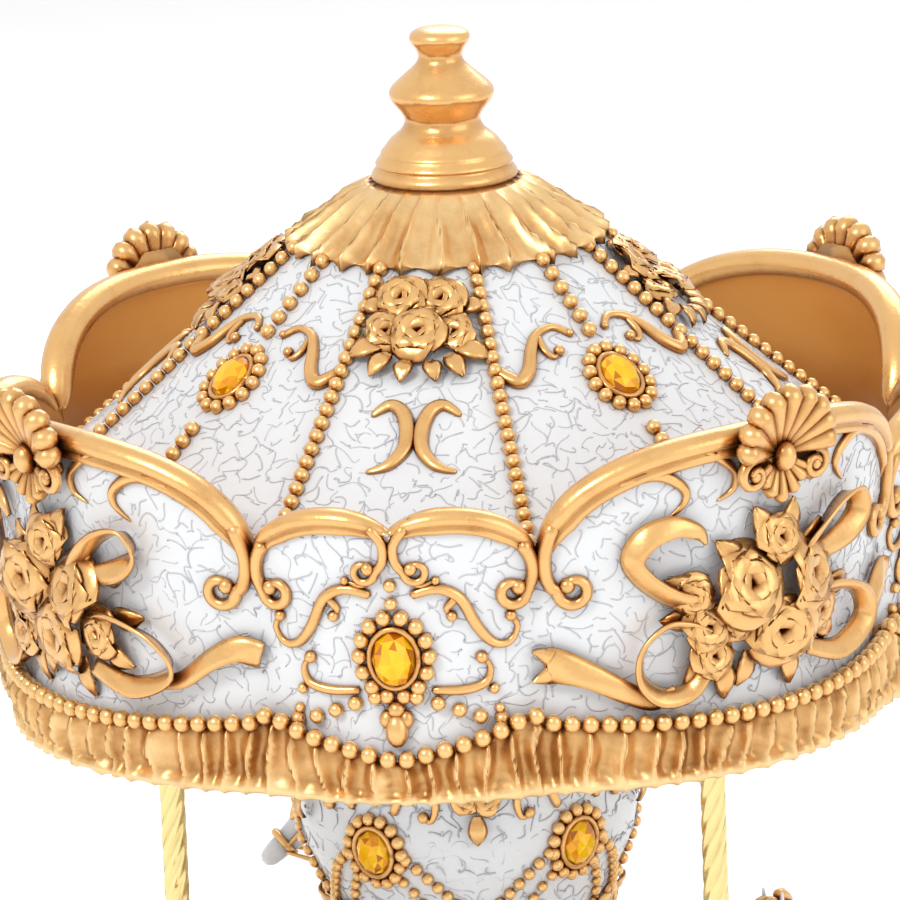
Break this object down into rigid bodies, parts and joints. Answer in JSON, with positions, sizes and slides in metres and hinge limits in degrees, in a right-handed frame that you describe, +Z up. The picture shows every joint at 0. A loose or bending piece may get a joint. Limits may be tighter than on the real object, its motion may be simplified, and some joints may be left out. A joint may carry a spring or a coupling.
{
  "type": "wind-up carousel music box",
  "caption": "Wind-up carousel music box: an ornate white and gold canopy with amber stones and prancing horses turns on a hollow base that holds a spring music movement.",
  "frame": {"origin": "centre of the circle of the feet, on the surface they stand on", "axes": "+Z up, front towards -Y, +X to the right as seen from the front"},
  "size_m": [0.1912, 0.1912, 0.3],
  "materials": {
    "white_resin": "pearl white varnish over an embossed squiggle texture, grey in its grooves",
    "gold_resin": "antique gold paint, brown in the hollows, bright on the edges",
    "twisted_brass": "bright brass tube with a twisted rope fluting",
    "amber_stone": "faceted amber acrylic stone on foil",
    "movement_brass": "machined brass",
    "nickelled_steel": "nickelled pressed steel",
    "steel": "ground steel",
    "fastener_steel": "zinc plated steel",
    "nylon": "plain nylon",
    "black_board": "black moulded board"
  },
  "bodies": {
    "base": {"base_shell": "white_resin", "bottom_plate": "black_board", "bottom_plate_screws": "fastener_steel", "feet": "gold_resin", "base_gems": "amber_stone", "glide_ring": "nylon", "spindle_bush": "movement_brass", "movement_bedplate": "nickelled_steel", "bedplate_screws": "fastener_steel", "arbor_bush": "movement_brass", "clutch_spring": "steel", "cylinder_bracket_inner": "nickelled_steel", "cylinder_bracket_outer": "nickelled_steel", "governor_bearing": "nickelled_steel", "comb": "steel", "comb_block": "movement_brass", "comb_screws": "fastener_steel", "governor_bracket": "nickelled_steel"},
    "carousel": {"spring_barrel": "movement_brass", "barrel_cap": "movement_brass", "mainspring": "steel", "spindle": "steel", "platform": "white_resin", "platform_hub": "movement_brass", "hub_screws": "fastener_steel", "column": "white_resin", "column_gems": "amber_stone", "tie_rod": "steel", "tie_nuts": "fastener_steel", "pole_right": "twisted_brass", "horse_right": "white_resin", "pole_back": "twisted_brass", "horse_back": "white_resin", "pole_left": "twisted_brass", "horse_left": "white_resin", "canopy_ceiling": "white_resin", "fringe": "gold_resin", "parapet": "white_resin", "crest_moulding": "gold_resin", "dome": "white_resin", "dome_skirt": "gold_resin", "finial": "gold_resin", "canopy_gems": "amber_stone", "dome_gems": "amber_stone", "shell_crests": "gold_resin", "rose_clusters": "gold_resin", "dome_roses": "gold_resin"},
    "key": {"winding_arbor": "steel", "winding_key": "nickelled_steel"},
    "cylinder": {"cylinder_shaft": "steel", "cylinder_drum": "movement_brass", "cylinder_pins": "steel", "cylinder_pinion": "movement_brass", "cylinder_wheel": "movement_brass"},
    "governor": {"governor_arbor": "steel", "governor_pinion": "movement_brass", "worm_wheel": "nylon"},
    "fly": {"worm": "steel", "fly": "movement_brass"}
  },
  "joints": [
    {"name": "carousel_spin", "type": "hinge", "parent": "base", "child": "carousel", "pos_m": [0, 0, 0.06], "axis": [0, 0, 1], "continuous": true},
    {"name": "key_wind", "type": "hinge", "parent": "base", "child": "key", "pos_m": [0, 0, 0.014], "axis": [0, 0, 1], "range_deg": [0, 1170]},
    {"name": "cylinder_spin", "type": "hinge", "parent": "base", "child": "cylinder", "pos_m": [0.03, 0, 0.03522], "axis": [1, 0, 0], "continuous": true},
    {"name": "governor_spin", "type": "hinge", "parent": "base", "child": "governor", "pos_m": [0.04, 0.0125, 0.03522], "axis": [1, 0, 0], "continuous": true},
    {"name": "fly_spin", "type": "hinge", "parent": "base", "child": "fly", "pos_m": [0.0385, 0.019, 0.03522], "axis": [0, 0, 1], "continuous": true}
  ],
  "couplings": [
    {"joint": "cylinder_spin", "follows": "carousel_spin", "ratio": 2},
    {"joint": "governor_spin", "follows": "carousel_spin", "ratio": -8},
    {"joint": "fly_spin", "follows": "carousel_spin", "ratio": 160}
  ]
}
